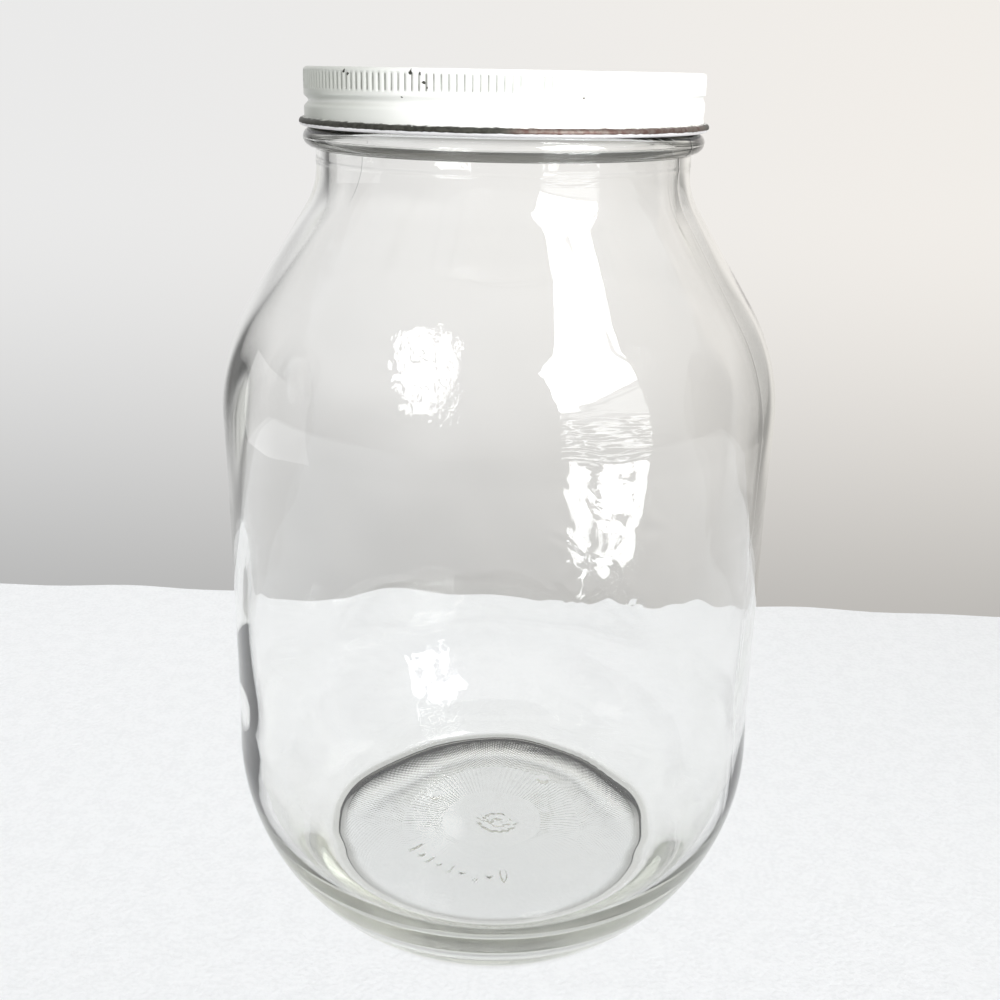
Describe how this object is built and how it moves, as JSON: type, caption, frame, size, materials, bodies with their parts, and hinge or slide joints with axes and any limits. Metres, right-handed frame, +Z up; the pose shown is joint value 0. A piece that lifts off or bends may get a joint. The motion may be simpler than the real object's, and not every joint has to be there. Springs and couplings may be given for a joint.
{
  "type": "mayonnaise jar",
  "caption": "Empty gallon-size wide-mouth mayonnaise jar of clear glass, with a long sloping shoulder, under a white metal screw lid with a knurled edge and a rolled rim.",
  "frame": {"origin": "middle of the foot, on the surface that the jar stands on", "axes": "+Z up along the jar's axis, -Y towards the viewer of the picture, +X to the viewer's right"},
  "size_m": [0.165, 0.165, 0.256],
  "materials": {
    "clear_glass": "clear pressed and blown glass with a faint olive tint, polished, stippled on the base",
    "white_enamel": "glossy white baked enamel on tinplate, chipped at the knurl and worn to dark and rusty metal on the rolled rim"
  },
  "bodies": {
    "root": {"glass_jar": "clear_glass", "lid": "white_enamel"}
  },
  "joints": []
}
